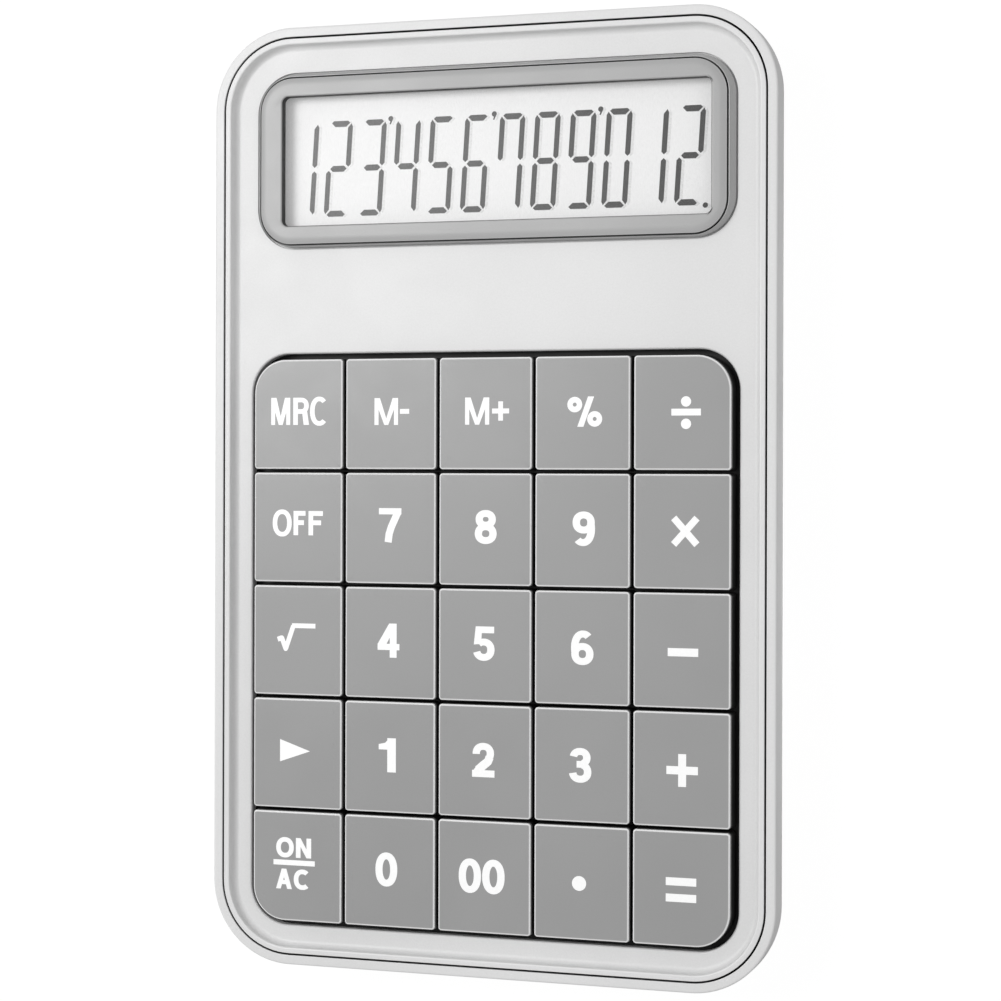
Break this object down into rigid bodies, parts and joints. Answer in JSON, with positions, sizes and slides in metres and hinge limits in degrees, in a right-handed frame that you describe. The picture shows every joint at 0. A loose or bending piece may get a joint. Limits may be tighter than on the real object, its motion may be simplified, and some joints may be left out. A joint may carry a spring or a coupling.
{
  "type": "pocket calculator",
  "caption": "Slim rectangular pocket calculator: raised display frame, dished pale face, square-set grey keys that press, hinged battery door in the back.",
  "frame": {"origin": "centre of the calculator's outline, on the plane its rubber feet stand on", "axes": "+Z out of the face towards the user, +Y towards the display end, +X to the right seen from the front"},
  "size_m": [0.0892, 0.145, 0.0144],
  "materials": {
    "case_plastic": "fine spark-eroded matt moulding, pale grey",
    "bezel_plastic": "satin mid-grey moulding",
    "key_plastic": "satin mid-grey key caps with white printed legends",
    "black_plastic": "matt black moulding",
    "clear_plastic": "clear polished acrylic",
    "lcd_glass": "pale liquid crystal glass with dark segments",
    "reflector_foil": "satin reflective film",
    "silicone": "translucent grey silicone",
    "board_laminate": "green solder mask",
    "ribbon_film": "amber polyester film",
    "epoxy": "glossy black epoxy",
    "ceramic": "tan ceramic",
    "steel": "plated steel",
    "nickel": "nickel plated spring strip",
    "red_wire": "red insulation",
    "black_wire": "black insulation",
    "foot_rubber": "matt black rubber"
  },
  "bodies": {
    "case": {"battery_lead_black": "black_wire", "battery_lead_red": "red_wire", "battery_negative_spring": "nickel", "battery_positive_clip": "nickel", "board_screw_lower_left": "steel", "board_screw_lower_right": "steel", "board_screw_upper_left": "steel", "board_screw_upper_right": "steel", "case_screw_bottom_left": "steel", "case_screw_bottom_right": "steel", "case_screw_top_left": "steel", "case_screw_top_right": "steel", "ceramic_capacitor": "ceramic", "circuit_board": "board_laminate", "coin_cell": "steel", "display_bezel": "bezel_plastic", "display_lens": "clear_plastic", "front_cover": "case_plastic", "guide_plate_screw_left": "steel", "guide_plate_screw_right": "steel", "key_guide_plate": "black_plastic", "lcd_glass": "lcd_glass", "lcd_reflector": "reflector_foil", "lcd_retainer": "black_plastic", "lcd_ribbon_cable": "ribbon_film", "processor_blob": "epoxy", "rear_case": "case_plastic", "retainer_screw_left": "steel", "retainer_screw_right": "steel", "rubber_foot_back_left": "foot_rubber", "rubber_foot_back_right": "foot_rubber", "rubber_foot_front_left": "foot_rubber", "rubber_foot_front_right": "foot_rubber", "rubber_key_mat": "silicone"},
    "key_mrc": {"key_mrc": "key_plastic"},
    "key_memory_minus": {"key_memory_minus": "key_plastic"},
    "key_memory_plus": {"key_memory_plus": "key_plastic"},
    "key_percent": {"key_percent": "key_plastic"},
    "key_divide": {"key_divide": "key_plastic"},
    "key_off": {"key_off": "key_plastic"},
    "key_7": {"key_7": "key_plastic"},
    "key_8": {"key_8": "key_plastic"},
    "key_9": {"key_9": "key_plastic"},
    "key_multiply": {"key_multiply": "key_plastic"},
    "key_square_root": {"key_square_root": "key_plastic"},
    "key_4": {"key_4": "key_plastic"},
    "key_5": {"key_5": "key_plastic"},
    "key_6": {"key_6": "key_plastic"},
    "key_minus": {"key_minus": "key_plastic"},
    "key_backspace": {"key_backspace": "key_plastic"},
    "key_1": {"key_1": "key_plastic"},
    "key_2": {"key_2": "key_plastic"},
    "key_3": {"key_3": "key_plastic"},
    "key_plus": {"key_plus": "key_plastic"},
    "key_on_clear": {"key_on_clear": "key_plastic"},
    "key_0": {"key_0": "key_plastic"},
    "key_00": {"key_00": "key_plastic"},
    "key_decimal_point": {"key_decimal_point": "key_plastic"},
    "key_equals": {"key_equals": "key_plastic"},
    "battery_door": {"battery_door": "case_plastic"}
  },
  "joints": [
    {"name": "key_mrc_press", "type": "slide", "parent": "case", "child": "key_mrc", "axis": [0, 0, -1], "range_m": [0, 0.001], "stiffness_N_per_m": 600, "deforming": ["rubber_key_mat"]},
    {"name": "key_memory_minus_press", "type": "slide", "parent": "case", "child": "key_memory_minus", "axis": [0, 0, -1], "range_m": [0, 0.001], "stiffness_N_per_m": 600, "deforming": ["rubber_key_mat"]},
    {"name": "key_memory_plus_press", "type": "slide", "parent": "case", "child": "key_memory_plus", "axis": [0, 0, -1], "range_m": [0, 0.001], "stiffness_N_per_m": 600, "deforming": ["rubber_key_mat"]},
    {"name": "key_percent_press", "type": "slide", "parent": "case", "child": "key_percent", "axis": [0, 0, -1], "range_m": [0, 0.001], "stiffness_N_per_m": 600, "deforming": ["rubber_key_mat"]},
    {"name": "key_divide_press", "type": "slide", "parent": "case", "child": "key_divide", "axis": [0, 0, -1], "range_m": [0, 0.001], "stiffness_N_per_m": 600, "deforming": ["rubber_key_mat"]},
    {"name": "key_off_press", "type": "slide", "parent": "case", "child": "key_off", "axis": [0, 0, -1], "range_m": [0, 0.001], "stiffness_N_per_m": 600, "deforming": ["rubber_key_mat"]},
    {"name": "key_7_press", "type": "slide", "parent": "case", "child": "key_7", "axis": [0, 0, -1], "range_m": [0, 0.001], "stiffness_N_per_m": 600, "deforming": ["rubber_key_mat"]},
    {"name": "key_8_press", "type": "slide", "parent": "case", "child": "key_8", "axis": [0, 0, -1], "range_m": [0, 0.001], "stiffness_N_per_m": 600, "deforming": ["rubber_key_mat"]},
    {"name": "key_9_press", "type": "slide", "parent": "case", "child": "key_9", "axis": [0, 0, -1], "range_m": [0, 0.001], "stiffness_N_per_m": 600, "deforming": ["rubber_key_mat"]},
    {"name": "key_multiply_press", "type": "slide", "parent": "case", "child": "key_multiply", "axis": [0, 0, -1], "range_m": [0, 0.001], "stiffness_N_per_m": 600, "deforming": ["rubber_key_mat"]},
    {"name": "key_square_root_press", "type": "slide", "parent": "case", "child": "key_square_root", "axis": [0, 0, -1], "range_m": [0, 0.001], "stiffness_N_per_m": 600, "deforming": ["rubber_key_mat"]},
    {"name": "key_4_press", "type": "slide", "parent": "case", "child": "key_4", "axis": [0, 0, -1], "range_m": [0, 0.001], "stiffness_N_per_m": 600, "deforming": ["rubber_key_mat"]},
    {"name": "key_5_press", "type": "slide", "parent": "case", "child": "key_5", "axis": [0, 0, -1], "range_m": [0, 0.001], "stiffness_N_per_m": 600, "deforming": ["rubber_key_mat"]},
    {"name": "key_6_press", "type": "slide", "parent": "case", "child": "key_6", "axis": [0, 0, -1], "range_m": [0, 0.001], "stiffness_N_per_m": 600, "deforming": ["rubber_key_mat"]},
    {"name": "key_minus_press", "type": "slide", "parent": "case", "child": "key_minus", "axis": [0, 0, -1], "range_m": [0, 0.001], "stiffness_N_per_m": 600, "deforming": ["rubber_key_mat"]},
    {"name": "key_backspace_press", "type": "slide", "parent": "case", "child": "key_backspace", "axis": [0, 0, -1], "range_m": [0, 0.001], "stiffness_N_per_m": 600, "deforming": ["rubber_key_mat"]},
    {"name": "key_1_press", "type": "slide", "parent": "case", "child": "key_1", "axis": [0, 0, -1], "range_m": [0, 0.001], "stiffness_N_per_m": 600, "deforming": ["rubber_key_mat"]},
    {"name": "key_2_press", "type": "slide", "parent": "case", "child": "key_2", "axis": [0, 0, -1], "range_m": [0, 0.001], "stiffness_N_per_m": 600, "deforming": ["rubber_key_mat"]},
    {"name": "key_3_press", "type": "slide", "parent": "case", "child": "key_3", "axis": [0, 0, -1], "range_m": [0, 0.001], "stiffness_N_per_m": 600, "deforming": ["rubber_key_mat"]},
    {"name": "key_plus_press", "type": "slide", "parent": "case", "child": "key_plus", "axis": [0, 0, -1], "range_m": [0, 0.001], "stiffness_N_per_m": 600, "deforming": ["rubber_key_mat"]},
    {"name": "key_on_clear_press", "type": "slide", "parent": "case", "child": "key_on_clear", "axis": [0, 0, -1], "range_m": [0, 0.001], "stiffness_N_per_m": 600, "deforming": ["rubber_key_mat"]},
    {"name": "key_0_press", "type": "slide", "parent": "case", "child": "key_0", "axis": [0, 0, -1], "range_m": [0, 0.001], "stiffness_N_per_m": 600, "deforming": ["rubber_key_mat"]},
    {"name": "key_00_press", "type": "slide", "parent": "case", "child": "key_00", "axis": [0, 0, -1], "range_m": [0, 0.001], "stiffness_N_per_m": 600, "deforming": ["rubber_key_mat"]},
    {"name": "key_decimal_point_press", "type": "slide", "parent": "case", "child": "key_decimal_point", "axis": [0, 0, -1], "range_m": [0, 0.001], "stiffness_N_per_m": 600, "deforming": ["rubber_key_mat"]},
    {"name": "key_equals_press", "type": "slide", "parent": "case", "child": "key_equals", "axis": [0, 0, -1], "range_m": [0, 0.001], "stiffness_N_per_m": 600, "deforming": ["rubber_key_mat"]},
    {"name": "battery_door_hinge", "type": "hinge", "parent": "case", "child": "battery_door", "pos_m": [0, 0.0599, 0.0006], "axis": [1, 0, 0], "range_deg": [0, 70]}
  ]
}
